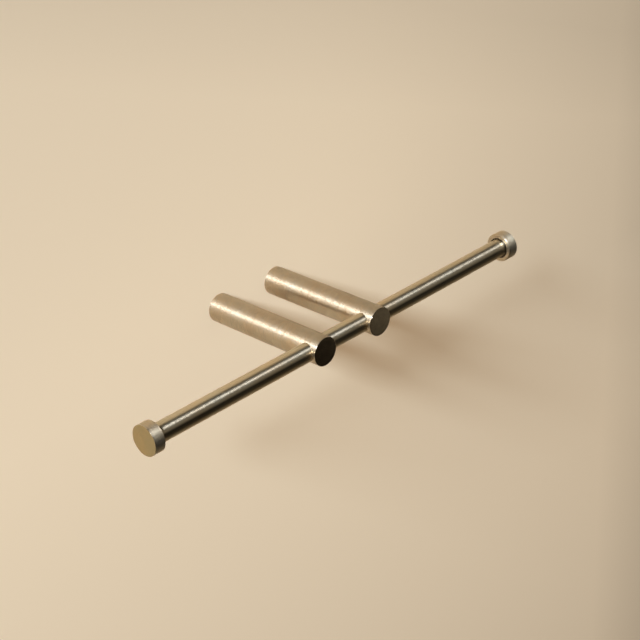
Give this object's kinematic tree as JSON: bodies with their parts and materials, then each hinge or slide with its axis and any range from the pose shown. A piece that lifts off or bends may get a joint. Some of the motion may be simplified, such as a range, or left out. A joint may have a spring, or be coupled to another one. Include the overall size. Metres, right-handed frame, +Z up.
{
  "type": "double toilet roll holder",
  "caption": "Wall-mounted toilet roll holder: a round bar with disc end stops, carried just behind the flat noses of plain round posts on hidden wall brackets.",
  "frame": {"origin": "on the wall's surface, midway between the axes of the posts", "axes": "+X along the bar to the right as seen from the room, +Y into the wall, +Z up"},
  "size_m": [0.3254, 0.1319, 0.0196],
  "materials": {
    "brushed_nickel": "warm nickel, finely brushed along the tube",
    "bright_nickel": "warm nickel, turned and lightly polished",
    "bracket_steel": "as turned",
    "zinc_steel": "bright zinc plated",
    "black_steel": "blackened",
    "grey_nylon": "moulded"
  },
  "bodies": {
    "root": {"post_left": "brushed_nickel", "post_right": "brushed_nickel", "crossbar": "brushed_nickel", "nose_plug_left": "bright_nickel", "nose_plug_right": "bright_nickel", "end_cap_left": "bright_nickel", "end_cap_right": "bright_nickel", "bar_end_plug_left": "bracket_steel", "bar_end_plug_right": "bracket_steel", "wall_bracket_left": "bracket_steel", "wall_bracket_right": "bracket_steel", "cap_stud_left": "zinc_steel", "cap_stud_right": "zinc_steel", "wall_screw_left": "zinc_steel", "wall_screw_right": "zinc_steel", "bracket_grub_screw_left": "black_steel", "bracket_grub_screw_right": "black_steel", "bar_lock_screw_left": "black_steel", "bar_lock_screw_right": "black_steel", "wall_plug_left": "grey_nylon", "wall_plug_right": "grey_nylon"}
  },
  "joints": []
}
